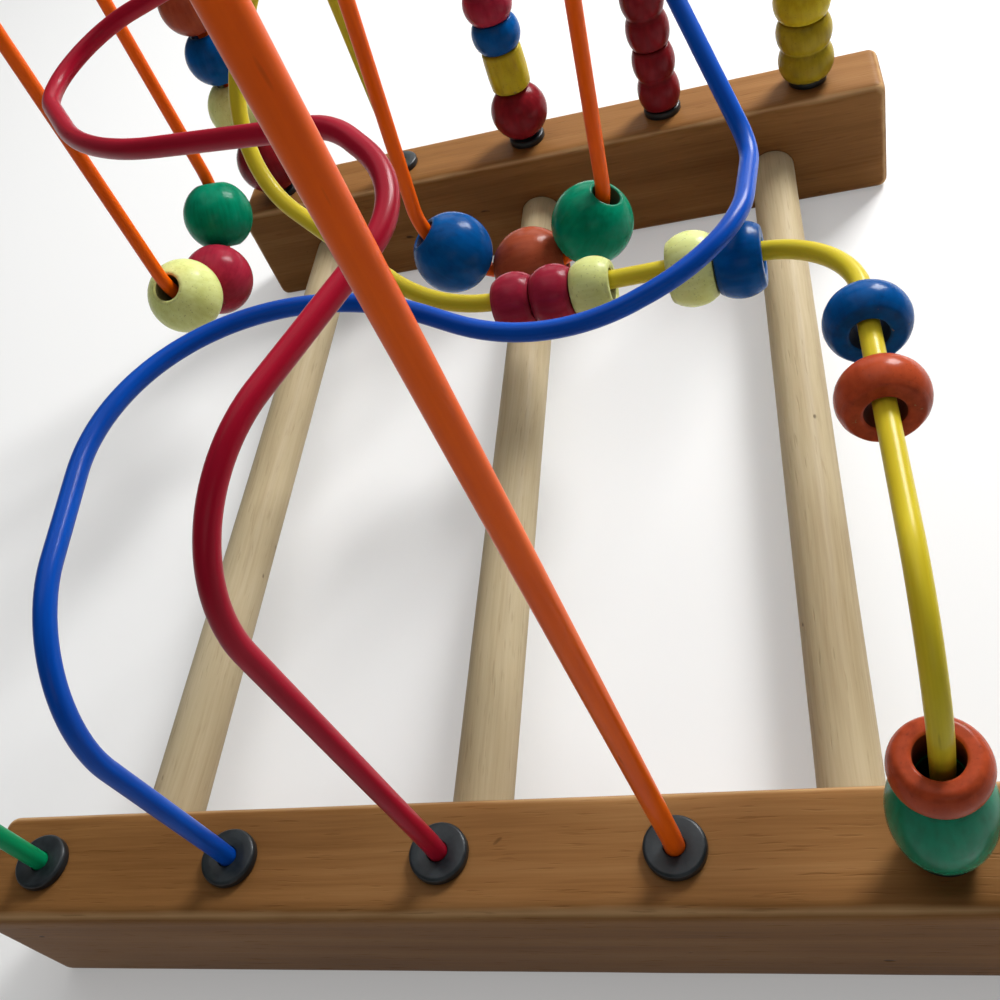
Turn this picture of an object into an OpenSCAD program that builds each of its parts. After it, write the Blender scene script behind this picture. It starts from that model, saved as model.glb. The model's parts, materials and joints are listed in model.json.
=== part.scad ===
// Bead maze: two wooden rails joined by three dowels carry five coated wires strung with beads.
// +X runs along the rails, +Y from the near rail to the far rail and +Z up. Sizes are in millimetres.

/* [Rails] */
// Length of each rail
rail_l = 260; // [255:1:300]
// Width of each rail
rail_w = 28; // [25:0.5:36]
// Height of each rail
rail_h = 44; // [42:0.5:60]
// Rounding of the rails' edges
rail_edge_r = 3.5; // [1:0.25:5]
// Distance between the middle lines of the two rails
rail_span = 290; // [275:1:320]

/* [Dowels] */
// Diameter of the dowels that hold the rails apart
dowel_d = 16; // [12:0.5:18]
// Distance between neighbouring dowels
dowel_pitch = 92; // [80:1:100]
// Height of the dowels' axes above the table
dowel_axis_h = 18; // [14:0.5:18.5]
// Depth of the blind sockets that hold the dowels' ends
socket_depth = 12; // [8:0.5:16]

/* [Collars] */
// Distance between neighbouring collars on a rail
collar_pitch = 54; // [51:0.5:58]
// Distance from the rails' middle to the middle of the collar row
row_offset = 4; // [0:0.5:8]
// Diameter of a collar's flange
collar_d = 14; // [12:0.25:17]
// Thickness of a collar's flange
collar_t = 2.6; // [1.5:0.1:4]
// Diameter of a collar's spigot
spigot_d = 9; // [8:0.25:11]
// Length of a collar's spigot
spigot_l = 12; // [8:0.5:14]

/* [Wires] */
// Diameter of a coated wire
wire_d = 4.6; // [3.6:0.1:5.2]
// Height of the highest wire above the rails
wire_rise = 256; // [240:1:300]
// Depth to which a wire's ends are set in the rails
wire_root = 16; // [14.5:0.5:18]
// Middling bend radius, from which the wires' bends are graded
bend_r = 30; // [26:0.5:32]

/* [Balls] */
// Diameter of the large balls
ball_d = 26; // [22:0.5:27]
// Diameter of the small balls
small_ball_d = 22; // [18:0.5:26]
// Bore of the balls
ball_bore = 9; // [8.5:0.1:10]

/* [Turned beads] */
// Diameter of the barrel at the foot of the yellow wire
barrel_d = 21; // [18:0.5:26]
// Length of the barrel
barrel_l = 28; // [20:0.5:30]
// Diameter of the ring
ring_d = 18.5; // [17:0.5:24]
// Length of the ring
ring_l = 9; // [6:0.5:10]
// Diameter of the rondelles
rondelle_d = 18.5; // [16:0.5:22]
// Length of the rondelles
rondelle_l = 9.5; // [8:0.5:12]
// Diameter of the drums
drum_d = 18.2; // [16:0.5:22]
// Length of the drums
drum_l = 11; // [10:0.5:14]
// Diameter of the buttons
button_d = 15.5; // [13:0.5:18]
// Length of the buttons
button_l = 10; // [9:0.1:11]
// Diameter of the plain cylinder
cylinder_d = 15.5; // [13:0.5:20]
// Length of the plain cylinder
cylinder_l = 16; // [12:0.5:20]
// Diameter of the wide spools
spool_d = 20; // [17:0.5:24]
// Length of the wide spools
spool_l = 22; // [16:0.5:26]
// Diameter of the slim spools
slim_spool_d = 16; // [14:0.5:20]
// Length of the slim spools
slim_spool_l = 24; // [18:0.5:28]
// Bore of the turned beads
bead_bore = 8; // [7.6:0.1:9]

/* [Fits] */
// Clearance on the diameter of a spigot, a dowel or a wire in its hole
fit_clearance = 0.2; // [0.1:0.05:0.3]
// Gap between a bead and what it rests on
seat_gap = 0.3; // [0.2:0.05:0.5]

/* [Hidden] */
$fn = 64;
// Facets of the round sides from which a bead is turned
profile_fn = 360;
// Shortest straight run left between two bends of a wire
least_run = 0.4;
// Distance by which a wire draws thinner all round where it is bent
bend_neck = 0.06;
// Distance by which a wire's straight run reaches over the start of a bend
run_lap = 0.3;
// Overrun of a cut past the face that it opens
overrun = 1;

// Every wire leaves the near rail at one collar and comes down to the far rail at another. The collars of
// a row are numbered -2 to 2. A corner is given as shares of [collar_pitch, rail_span, wire_rise, bend_r]:
// its place along the rails, across them and above them, and the radius of its bend.
green_shares = [
  [-2, 0, 0.705, 1.5], [-1.15, 0.52, 0.765, 2], [0, 1, 0.745, 1]
];
blue_shares = [
  [-1, 0, 0.03, 1], [-0.985, -0.01, 0.335, 1.05], [-1.25, 0.46, 0.355, 1.65], [0.67, 0.31, 0.26, 1.9],
  [1.51, 0.35, 0.305, 1], [1.595, 0.5, 0.28, 0.5], [1.055, 0.735, 0.49, 1.3], [1, 0.845, 0.825, 0.7],
  [1, 1, 0.825, 0.7]
];
red_shares = [
  [0, 0, 0.03, 1], [-0.15, 0.01, 0.465, 1.1], [0.51, 0.26, 0.48, 0.75], [0.195, 0.32, 0.505, 0.65],
  [-1.095, 0.4, 0.48, 2.5], [-2.035, 0.645, 0.45, 0.65], [1.89, 0.575, 0.65, 1.35], [2, 1, 0.805, 1]
];
orange_shares = [
  [1, 0, 0.03, 1], [0.8, 0, 1, 1.5], [1.07, 0.66, 1, 1.5], [0.72, 0.66, 0.037, 1.2],
  [-0.39, 0.66, 0.057, 1.2], [-0.06, 0.66, 0.94, 1.4], [-2.11, 0.655, 0.94, 1.4],
  [-2.11, 0.655, 0.04, 1.2], [-2.11, 0.86, 0.04, 1.2], [-2.11, 0.86, 0.785, 0.65], [-2, 1, 0.785, 0.65]
];
yellow_shares = [
  [2, 0, 0.05, 2], [1.95, 0, 0.28, 0.85], [1.96, 0.405, 0.245, 0.75], [0.06, 0.42, 0.222, 1.5],
  [-1.1, 0.585, 0.34, 1.2], [-0.11, 0.735, 0.64, 0.95], [-1, 1, 0.67, 0.95]
];
// Numbers of the orange wire's corners from which the front and the side loop hang
front_loop_index = 4;
side_loop_index = 8;
// Angles by which the balls of the two loops hang to one side
front_loop_tilt = -6;
side_loop_tilt = 0;
// Numbers of the yellow wire's runs that carry beads
foot_run_index = 1;
back_run_index = 2;
bridge_run_index = 3;

// Places of the beads along those runs, as shares of the run
back_first_share = 0.45;
back_second_share = 0.8;
bridge_first_share = -0.03;
bridge_second_share = 0.54;

// Diameter at the ends, as a share of the widest, of each turned form
barrel_end_share = 0.72;
ring_end_share = 0.82;
rondelle_end_share = 0.8;
drum_end_share = 0.79;
button_end_share = 0.76;
cylinder_end_share = 0.96;
spool_end_share = 0.82;

// A turned form is [diameter, length, bore, end share, ribs]
large_ball = [ball_d, ball_length(ball_d), ball_bore, ball_bore / ball_d, 1];
small_ball = [small_ball_d, ball_length(small_ball_d), ball_bore, ball_bore / small_ball_d, 1];
barrel = [barrel_d, barrel_l, ball_bore, barrel_end_share, 1];
ring = [ring_d, ring_l, ball_bore, ring_end_share, 1];
rondelle = [rondelle_d, rondelle_l, bead_bore, rondelle_end_share, 1];
drum = [drum_d, drum_l, bead_bore, drum_end_share, 1];
button = [button_d, button_l, bead_bore, button_end_share, 1];
cylinder_bead = [cylinder_d, cylinder_l, bead_bore, cylinder_end_share, 1];
spool = [spool_d, spool_l, bead_bore, spool_end_share, 2];
slim_spool = [slim_spool_d, slim_spool_l, bead_bore, spool_end_share, 2];

rail_wood = "#B48C5E";
dowel_wood = "#CDBB93";
collar_black = "#262C30";
lacquer_green = "#00694B";
lacquer_blue = "#00468A";
lacquer_pale = "#CDD07A";
lacquer_crimson = "#98172F";
lacquer_brown = "#A84C22";
lacquer_orange = "#C4551A";
lacquer_dark_red = "#6E1419";
lacquer_yellow = "#C2AC2A";
lacquer_olive = "#8A7A22";
coat_green = "#0A9660";
coat_blue = "#0A3EA6";
coat_red = "#98102A";
coat_orange = "#D2500C";
coat_yellow = "#D8C432";

function unit(v) = v / norm(v);
function ball_length(d) = sqrt(d * d - ball_bore * ball_bore);
function collar_x(i) = i * collar_pitch - row_offset;

// Geometry of a wire: the corners of its route, and the radius that fits at each corner
function corner(s) = [collar_x(s[0]), (s[1] - 1 / 2) * rail_span, rail_h + s[2] * wire_rise];
function foot(i, side) = [collar_x(i), side * rail_span / 2, rail_h - wire_root];
function route(near, shares, far) = concat([foot(near, -1)], [for (s = shares) corner(s)], [foot(far, 1)]);
function graded(shares) = concat([0], [for (s = shares) s[3] * bend_r], [0]);
function turn(p, i) =
  i == 0 || i == len(p) - 1 ? 0 : acos(unit(p[i] - p[i - 1]) * unit(p[i + 1] - p[i]));
function reach(p, r, i) = r[i] * tan(turn(p, i) / 2);
function room(p, r, i) =
  (norm(p[i + 1] - p[i]) - least_run) / max(reach(p, r, i) + reach(p, r, i + 1), least_run);
function fitted(p, r) =
  [for (i = [0:len(p) - 1]) r[i] == 0 ? 0 : r[i] * min(1, room(p, r, i - 1), room(p, r, i))];
function bend_start(p, r, i) = p[i] + unit(p[i - 1] - p[i]) * reach(p, r, i);
function bend_end(p, r, i) = p[i] + unit(p[i + 1] - p[i]) * reach(p, r, i);
function bend_centre(p, r, i) =
  p[i] + unit(unit(p[i - 1] - p[i]) + unit(p[i + 1] - p[i])) * r[i] / cos(turn(p, i) / 2);
function run_start(p, r, k) = k == 0 ? p[0] : bend_end(p, r, k);
function run_end(p, r, k) = k == len(p) - 2 ? p[k + 1] : bend_start(p, r, k + 1);
function run_axis(wire, k) = unit(run_end(wire[2], wire[3], k) - run_start(wire[2], wire[3], k));

// A wire is [name, colour, route, radii]
function strung_wire(name, colour, near, far, shares) =
  let (p = route(near, shares, far)) [name, colour, p, fitted(p, graded(shares))];
green_wire = strung_wire("green_wire", coat_green, -2, 0, green_shares);
blue_wire = strung_wire("blue_wire", coat_blue, -1, 1, blue_shares);
red_wire = strung_wire("red_wire", coat_red, 0, 2, red_shares);
orange_wire = strung_wire("orange_wire", coat_orange, 1, -2, orange_shares);
yellow_wire = strung_wire("yellow_wire", coat_yellow, 2, -1, yellow_shares);
WIRES = [green_wire, blue_wire, red_wire, orange_wire, yellow_wire];

// A bead is [name, form, colour, centre, axis]. Beads in a stack stand on a collar, each on the one below.
function length_below(rows, i) = i == 0 ? 0 : rows[i - 1][1][1] + seat_gap + length_below(rows, i - 1);
function stack(collar, side, rows, axis = [0, 0, 1]) =
  let (seat = [collar_x(collar), side * rail_span / 2, rail_h + collar_t],
    lift = seat_gap + norm([axis[0], axis[1]]) * collar_d / 2)
  [for (i = [0:len(rows) - 1])
    concat(rows[i], [seat + axis * (lift + length_below(rows, i) + rows[i][1][1] / 2), axis])];
// Beads on a run hang from the wire, so their bores touch it from below, end to end from a share of the run
function hang(axis, form) =
  unit([0, 0, -1] + axis * axis[2]) * ((form[2] - wire_d) / 2 - seat_gap);
function strung(wire, k, share, rows) =
  let (a = run_start(wire[2], wire[3], k), b = run_end(wire[2], wire[3], k), axis = run_axis(wire, k))
  [for (i = [0:len(rows) - 1]) concat(rows[i], [
    a + (b - a) * share + axis * (length_below(rows, i) + rows[i][1][1] / 2) + hang(axis, rows[i][1]),
    axis
  ])];
// Balls in a hanging loop sit side by side round its bottom, about the loop's own axis
function loop_centre(wire, i) =
  (bend_centre(wire[2], wire[3], i) + bend_centre(wire[2], wire[3], i + 1)) / 2;
function loop_axis(wire, i) = unit(cross(wire[2][i] - wire[2][i - 1], wire[2][i + 1] - wire[2][i]));
function loop_radius(wire, i, form) =
  let (r = wire[3][i], half = form[1] / 2)
  sqrt(r * r - half * half) - wire_d / 2 / cos(asin(half / r)) + form[2] / 2 - seat_gap;
function loop_step(wire, i, form) = 2 * asin((form[0] + seat_gap) / 2 / loop_radius(wire, i, form));
function turned(v, axis, angle) =
  v * cos(angle) + cross(axis, v) * sin(angle) + axis * (axis * v) * (1 - cos(angle));
function slung(wire, i, tilt, rows) =
  let (axis = loop_axis(wire, i), down = unit(wire[2][i] - wire[2][i - 1]))
  [for (k = [0:len(rows) - 1])
    let (angle = (k - (len(rows) - 1) / 2) * loop_step(wire, i, rows[k][1]) + tilt,
      out = turned(down, axis, angle))
    concat(rows[k], [loop_centre(wire, i) + out * loop_radius(wire, i, rows[k][1]), cross(axis, out)])];

BEADS = concat(
  stack(2, -1, [
    ["green_barrel_bead", barrel, lacquer_green],
    ["orange_ring_bead", ring, lacquer_orange]
  ], run_axis(yellow_wire, foot_run_index)),
  strung(yellow_wire, back_run_index, back_first_share, [
    ["orange_rondelle_bead", rondelle, lacquer_orange]
  ]),
  strung(yellow_wire, back_run_index, back_second_share, [
    ["blue_rondelle_bead", rondelle, lacquer_blue]
  ]),
  strung(yellow_wire, bridge_run_index, bridge_first_share, [
    ["blue_drum_bead", drum, lacquer_blue],
    ["pale_drum_bead", drum, lacquer_pale]
  ]),
  strung(yellow_wire, bridge_run_index, bridge_second_share, [
    ["pale_button_bead", button, lacquer_pale],
    ["crimson_button_bead", button, lacquer_crimson],
    ["end_crimson_button_bead", button, lacquer_crimson]
  ]),
  slung(orange_wire, front_loop_index, front_loop_tilt, [
    ["front_loop_green_ball", large_ball, lacquer_green],
    ["front_loop_brown_ball", large_ball, lacquer_brown],
    ["front_loop_blue_ball", large_ball, lacquer_blue]
  ]),
  slung(orange_wire, side_loop_index, side_loop_tilt, [
    ["side_loop_pale_ball", large_ball, lacquer_pale],
    ["side_loop_crimson_ball", large_ball, lacquer_crimson],
    ["side_loop_green_ball", large_ball, lacquer_green]
  ]),
  stack(-2, 1, [
    ["corner_dark_red_ball", large_ball, lacquer_dark_red],
    ["corner_pale_ball", large_ball, lacquer_pale],
    ["corner_blue_ball", small_ball, lacquer_blue],
    ["corner_brown_ball", small_ball, lacquer_brown]
  ]),
  stack(0, 1, [
    ["middle_dark_red_ball", small_ball, lacquer_dark_red],
    ["middle_yellow_cylinder", cylinder_bead, lacquer_yellow],
    ["middle_blue_drum", drum, lacquer_blue],
    ["middle_crimson_drum", drum, lacquer_crimson]
  ]),
  stack(1, 1, [
    ["lower_red_spool", slim_spool, lacquer_dark_red],
    ["upper_red_spool", slim_spool, lacquer_dark_red]
  ]),
  stack(2, 1, [
    ["lower_olive_spool", spool, lacquer_olive],
    ["upper_yellow_spool", spool, lacquer_yellow]
  ])
);

collar_places = [-2, -1, 0, 1, 2];
dowel_places = [-1, 0, 1];
dowel_names = ["left_dowel", "middle_dowel", "right_dowel"];
function collar_name(side, i) = str(side < 0 ? "near" : "far", "_collar_", i + 3);

// A rectangle centred on the origin with rounded corners
module soft_rectangle(l, w, r) {
  square([l - 2 * r, w], center = true);
  square([l, w - 2 * r], center = true);
  for (x = [-1, 1]) {
    for (y = [-1, 1]) {
      translate([x * (l / 2 - r), y * (w / 2 - r)]) circle(r = r);
    }
  }
}

// The bar of a rail, rounded on all its edges, standing on the table
module bar() {
  translate([0, 0, rail_h / 2]) intersection() {
    linear_extrude(rail_h, center = true) soft_rectangle(rail_l, rail_w, rail_edge_r);
    rotate([90, 0, 0]) linear_extrude(rail_w, center = true) soft_rectangle(rail_l, rail_h, rail_edge_r);
    rotate([90, 0, 90]) linear_extrude(rail_l, center = true) soft_rectangle(rail_w, rail_h, rail_edge_r);
  }
}

// A rail in its own place at the near side, with the holes for the collars, wires and dowels
module rail() {
  translate([0, -rail_span / 2, 0]) difference() {
    bar();
    for (i = collar_places) {
      translate([collar_x(i), 0, rail_h - spigot_l])
        cylinder(d = spigot_d + fit_clearance, h = spigot_l + overrun);
      translate([collar_x(i), 0, rail_h - wire_root])
        cylinder(d = wire_d + fit_clearance, h = wire_root);
    }
    for (i = dowel_places) {
      translate([i * dowel_pitch - row_offset, rail_w / 2 - socket_depth, dowel_axis_h])
        rotate([-90, 0, 0]) cylinder(d = dowel_d + fit_clearance, h = socket_depth + overrun);
    }
  }
}

module near_rail() {
  color(rail_wood) rail();
}

module far_rail() {
  color(rail_wood) mirror([0, 1, 0]) rail();
}

module dowel(i) {
  length = rail_span - rail_w + 2 * socket_depth;
  color(dowel_wood) translate([i * dowel_pitch - row_offset, -length / 2, dowel_axis_h])
    rotate([-90, 0, 0]) cylinder(d = dowel_d, h = length);
}

// A flanged bush with a round rim, its spigot glued into the rail
module collar(side, i) {
  bore_r = (wire_d + fit_clearance) / 2;
  rim_r = collar_t / 2;
  color(collar_black) translate([collar_x(i), side * rail_span / 2, rail_h]) rotate_extrude() {
    translate([bore_r, -spigot_l]) square([spigot_d / 2 - bore_r, spigot_l + collar_t]);
    translate([bore_r, 0]) square([collar_d / 2 - rim_r - bore_r, collar_t]);
    translate([collar_d / 2 - rim_r, rim_r]) circle(r = rim_r);
  }
}

// A round bar from one point to another
module rod(a, b) {
  v = b - a;
  translate(a) rotate([0, acos(v[2] / norm(v)), atan2(v[1], v[0])]) cylinder(d = wire_d, h = norm(v));
}

// A bend of a wire, from the end of one run to the start of the next
module bend(p, r, i) {
  centre = bend_centre(p, r, i);
  x = unit(bend_start(p, r, i) - centre);
  z = unit(cross(x, bend_end(p, r, i) - centre));
  y = cross(z, x);
  frame = [
    [x[0], y[0], z[0], centre[0]],
    [x[1], y[1], z[1], centre[1]],
    [x[2], y[2], z[2], centre[2]],
    [0, 0, 0, 1]
  ];
  multmatrix(frame) rotate_extrude(angle = turn(p, i))
    translate([r[i], 0]) circle(d = wire_d - 2 * bend_neck);
}

// A wire: straight runs and bends in turn, each run lapping over the bends at its ends
module wire(w) {
  p = w[2];
  r = w[3];
  last = len(p) - 2;
  color(w[1]) union() {
    for (k = [0:last]) {
      a = run_start(p, r, k);
      b = run_end(p, r, k);
      lap = unit(b - a) * run_lap;
      rod(k == 0 ? a : a - lap, k == last ? b : b + lap);
    }
    for (i = [1:last]) {
      bend(p, r, i);
    }
  }
}

// A bead turned on its bore, with one or more ribs whose sides are round
module bead(b) {
  d = b[1][0];
  length = b[1][1];
  bore = b[1][2];
  ribs = b[1][4];
  rib_l = length / ribs;
  rise = d / 2 * (1 - b[1][3]);
  side_r = (rib_l * rib_l / 4 + rise * rise) / (2 * rise);
  axis = b[4];
  color(b[2]) translate(b[3]) rotate([0, acos(axis[2]), atan2(axis[1], axis[0])]) rotate_extrude() {
    for (k = [0:ribs - 1]) {
      translate([0, k * rib_l - length / 2]) intersection() {
        translate([d / 2 - side_r, rib_l / 2]) circle(r = side_r, $fn = profile_fn);
        translate([bore / 2, 0]) square([d / 2 - bore / 2, rib_l]);
      }
    }
  }
}

near_rail();
far_rail();
for (i = dowel_places) {
  dowel(i);
}
for (side = [-1, 1]) {
  for (i = collar_places) {
    collar(side, i);
  }
}
for (w = WIRES) {
  wire(w);
}
for (b = BEADS) {
  bead(b);
}
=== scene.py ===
# %% [markdown]
# # A wooden bead maze
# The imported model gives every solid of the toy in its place: two rails, three dowels, ten collars, five
# wires and the beads strung on them. This lesson replaces each solid by a smooth piece of the same size
# with a finish of its own, and lets it move with the solid's body.

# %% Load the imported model
import json
import math

import bpy
from mathutils import Matrix, Vector


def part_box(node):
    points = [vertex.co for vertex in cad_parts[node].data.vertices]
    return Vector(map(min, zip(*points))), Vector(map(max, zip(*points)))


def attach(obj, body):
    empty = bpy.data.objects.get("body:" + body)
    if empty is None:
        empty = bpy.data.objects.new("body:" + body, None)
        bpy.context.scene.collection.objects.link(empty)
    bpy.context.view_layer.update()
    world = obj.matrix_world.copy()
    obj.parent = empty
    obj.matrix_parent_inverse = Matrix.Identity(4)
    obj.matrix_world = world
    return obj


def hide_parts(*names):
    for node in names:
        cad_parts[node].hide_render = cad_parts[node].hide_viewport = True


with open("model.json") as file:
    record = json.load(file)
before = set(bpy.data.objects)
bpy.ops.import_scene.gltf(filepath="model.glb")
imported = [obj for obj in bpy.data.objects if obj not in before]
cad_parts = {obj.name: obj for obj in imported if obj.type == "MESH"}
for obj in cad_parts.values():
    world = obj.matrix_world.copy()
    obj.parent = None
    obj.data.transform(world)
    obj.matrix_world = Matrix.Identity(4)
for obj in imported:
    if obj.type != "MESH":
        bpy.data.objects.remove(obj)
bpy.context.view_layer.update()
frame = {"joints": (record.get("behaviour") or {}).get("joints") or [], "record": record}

MM = 0.001

# %% [markdown]
# ## The camera
# The photograph was taken from close above the near rail, a little to the right, with the camera tilted.
# The place, the direction and the tilt come from the vanishing lines of the two rails and the spacing of
# the collars. A square sensor keeps the picture's frame, and the small shift is the offset of its middle.

# %% Camera
CAMERA_PLACE = Vector((0.0843, -0.2319, 0.2692))
CAMERA_AIM = Vector((-0.0164, 0.0, -0.0047))
CAMERA_ROLL = math.radians(-24.38)
SENSOR_WIDTH = 36.0
LENS = 38.2
MIDDLE_SHIFT = (-0.0016, 0.0002)
camera_data = bpy.data.cameras.new("camera")
camera_data.sensor_fit = "HORIZONTAL"
camera_data.sensor_width = SENSOR_WIDTH
camera_data.lens = LENS
camera_data.shift_x, camera_data.shift_y = MIDDLE_SHIFT
camera_data.clip_start = 0.01
camera = bpy.data.objects.new("camera", camera_data)
bpy.context.scene.collection.objects.link(camera)
facing = (CAMERA_AIM - CAMERA_PLACE).to_track_quat("-Z", "Y").to_matrix().to_4x4()
camera.matrix_world = Matrix.Translation(CAMERA_PLACE) @ facing @ Matrix.Rotation(CAMERA_ROLL, 4, "Z")
bpy.context.scene.camera = camera
drop = math.asin(-(CAMERA_AIM - CAMERA_PLACE).normalized().z)
print("camera looks down by", round(math.degrees(drop), 1), "degrees")

# %% [markdown]
# ## Sums and nodes as plain Python
# Node trees are easier to read as expressions. A Value wraps one output socket, and a sum on it adds a Math
# node. A Graph adds any other node: its settings first, then a number or a link for each socket.


# %% Value and Graph
class Value:
    """One output socket of a node."""

    def __init__(self, graph, node, out=0):
        self.graph = graph
        self.node = node
        self.socket = node.outputs[out] if len(node.outputs) else None

    def out(self, name):
        return Value(self.graph, self.node, name)

    def __add__(self, other):
        return self.graph.math("ADD", self, other)

    def __sub__(self, other):
        return self.graph.math("SUBTRACT", self, other)

    def __rsub__(self, other):
        return self.graph.math("SUBTRACT", other, self)

    def __mul__(self, other):
        return self.graph.math("MULTIPLY", self, other)

    def __gt__(self, other):
        return self.graph.math("GREATER_THAN", self, other)

    __radd__ = __add__
    __rmul__ = __mul__


class Graph:
    """A node tree, for a material or for geometry."""

    def __init__(self, tree):
        self.tree = tree

    def node(self, kind, settings=None, sockets=None, out=0):
        made = self.tree.nodes.new(kind)
        for name, value in (settings or {}).items():
            setattr(made, name, value)
        for name, value in (sockets or {}).items():
            if isinstance(value, Value):
                self.tree.links.new(value.socket, made.inputs[name])
            else:
                made.inputs[name].default_value = value
        return Value(self, made, out)

    def math(self, operation, a, b):
        return self.node("ShaderNodeMath", {"operation": operation}, {0: a, 1: b})

    def ramp(self, value, low, high):
        """0 below low and 1 above high, with a straight slope between."""
        sockets = {"Value": value, "From Min": low, "From Max": high}
        return self.node("ShaderNodeMapRange", {"clamp": True}, sockets)

    def mix(self, share, a, b):
        """Colour a, going over to colour b with the share."""
        return self.node("ShaderNodeMix", {"data_type": "RGBA"}, {0: share, 6: a, 7: b}, out=2)

    def vector(self, operation, a, b):
        return self.node("ShaderNodeVectorMath", {"operation": operation}, {0: a, 1: b})

    def noise(self, place, scale, detail=2.0, seed=0.0, out=0):
        """Noise between 0 and 1 on places in metres; scale is repeats for each metre along X, Y and Z."""
        stretched = self.vector("MULTIPLY", place, scale)
        settings = {"noise_dimensions": "4D"}
        sockets = {"Vector": stretched, "W": seed, "Scale": 1.0, "Detail": detail}
        return self.node("ShaderNodeTexNoise", settings, sockets, out)


def shade(red, green, blue):
    """A colour as a paint chart gives it, 0 to 255, for a socket that wants linear light."""
    def linear(value):
        share = value / 255
        return share / 12.92 if share <= 0.04045 else ((share + 0.055) / 1.055) ** 2.4
    return (linear(red), linear(green), linear(blue), 1.0)


print("node helpers ready")

# %% [markdown]
# ## Stage: a pale floor and soft light
# A studio sweep is pale, so the toy stands on a pale floor under a soft sky. The brightest lamp is a large
# window-like panel behind the toy on the right, as in the photograph, where the far sides of the beads and
# the upper sides of the wires shine. A wider panel hangs overhead, a weak one fills the front, and a broad
# one at the back puts a sheen on what faces up. The floor also glows a little to every ray that looks at
# it, the camera's and the reflections' alike, so it stays pale in the shade.

# %% Stage
scene = bpy.context.scene
scene.view_settings.view_transform = "Standard"
FLOOR_HALF = 3.0
PANEL_AIM = Vector((0.0, 0.0, 0.08))
PANELS = {
    "window_panel": {"place": (0.5, 0.7, 0.65), "size": (0.3, 0.42), "energy": 14.0},
    "ceiling_panel": {"place": (-0.1, 0.35, 1.3), "size": (1.2, 1.2), "energy": 5.5},
    "front_panel": {"place": (0.3, -1.4, 0.9), "size": (1.0, 0.6), "energy": 1.4},
    "back_panel": {"place": (0.15, 1.5, 0.75), "size": (1.5, 0.8), "energy": 6.0},
}
for name, panel in PANELS.items():
    lamp_data = bpy.data.lights.new(name, "AREA")
    lamp_data.shape = "RECTANGLE"
    lamp_data.size, lamp_data.size_y = panel["size"]
    lamp_data.energy = panel["energy"]
    lamp = bpy.data.objects.new(name, lamp_data)
    place = Vector(panel["place"])
    turned = (PANEL_AIM - place).to_track_quat("-Z", "Y").to_matrix().to_4x4()
    lamp.matrix_world = Matrix.Translation(place) @ turned
    scene.collection.objects.link(lamp)

world = bpy.data.worlds.new("soft_sky")
world.use_nodes = True
world.node_tree.nodes.clear()
sky = Graph(world.node_tree)
SKY_COLOUR = (0.98, 0.97, 0.95, 1.0)
SKY_STRENGTH = 0.12
glow = sky.node("ShaderNodeBackground", sockets={"Color": SKY_COLOUR, "Strength": SKY_STRENGTH})
sky.node("ShaderNodeOutputWorld", sockets={"Surface": glow})
scene.world = world

floor_mesh = bpy.data.meshes.new("floor")
corners = [(x * FLOOR_HALF, y * FLOOR_HALF, 0.0) for x, y in ((-1, -1), (1, -1), (1, 1), (-1, 1))]
floor_mesh.from_pydata(corners, [], [(0, 1, 2, 3)])
pale = bpy.data.materials.new("pale_floor")
pale.use_nodes = True
pale.node_tree.nodes.clear()
ground = Graph(pale.node_tree)
FLOOR_COLOUR = (0.84, 0.84, 0.83, 1.0)
FLOOR_GLOW = 0.28
matt = ground.node("ShaderNodeBsdfDiffuse", sockets={"Color": FLOOR_COLOUR})
white = ground.node("ShaderNodeEmission", sockets={"Color": (1.0, 1.0, 1.0, 1.0), "Strength": 1.0})
rays = ground.node("ShaderNodeLightPath")
looked_at = rays.out("Is Camera Ray") + rays.out("Is Glossy Ray") + rays.out("Is Transmission Ray")
ground.node("ShaderNodeOutputMaterial", sockets={
    "Surface": ground.node("ShaderNodeMixShader", sockets={0: looked_at * FLOOR_GLOW, 1: matt, 2: white})})
floor_mesh.materials.append(pale)
floor = bpy.data.objects.new("floor", floor_mesh)
scene.collection.objects.link(floor)
print("stage:", len(PANELS), "panels over a floor", 2 * FLOOR_HALF, "m wide")

# %% [markdown]
# ## Tools made of Geometry Nodes
# A wire follows a path and a bead is turned about its bore, so each kind of piece is one rule with
# different sizes. A node tool holds the rule as a tree with named inputs. Running it on a small base mesh
# gives a plain mesh, which is then moved to its place, because the finished pieces stay unturned at the
# origin.


# %% Node tools
def node_tool(name, inputs):
    """Start a tree with named inputs, and give back its graph and the inputs' values."""
    tree = bpy.data.node_groups.new(name, "GeometryNodeTree")
    tree.interface.new_socket("Geometry", in_out="INPUT", socket_type="NodeSocketGeometry")
    for label, kind in inputs.items():
        tree.interface.new_socket(label, in_out="INPUT", socket_type="NodeSocket" + kind)
    tree.interface.new_socket("Geometry", in_out="OUTPUT", socket_type="NodeSocketGeometry")
    graph = Graph(tree)
    return graph, graph.node("NodeGroupInput")


def close_tool(graph, given, geometry):
    """End a tree in real, smooth geometry with one finish."""
    smooth = graph.node("GeometryNodeSetShadeSmooth", sockets={"Geometry": geometry})
    real = graph.node("GeometryNodeRealizeInstances", sockets={"Geometry": smooth})
    finish = {"Geometry": real, "Material": given.out("Material")}
    graph.node("NodeGroupOutput", sockets={"Geometry": graph.node("GeometryNodeSetMaterial", sockets=finish)})
    return graph.tree


def keep(graph, geometry, name, value, kind="FLOAT"):
    """Store a value on the points under a name that a finish can read."""
    settings = {"data_type": kind, "domain": "POINT"}
    sockets = {"Geometry": geometry, "Name": name, "Value": value}
    return graph.node("GeometryNodeStoreNamedAttribute", settings, sockets)


def recall(graph, name, kind="FLOAT"):
    return graph.node("GeometryNodeInputNamedAttribute", {"data_type": kind}, {"Name": name})


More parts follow.
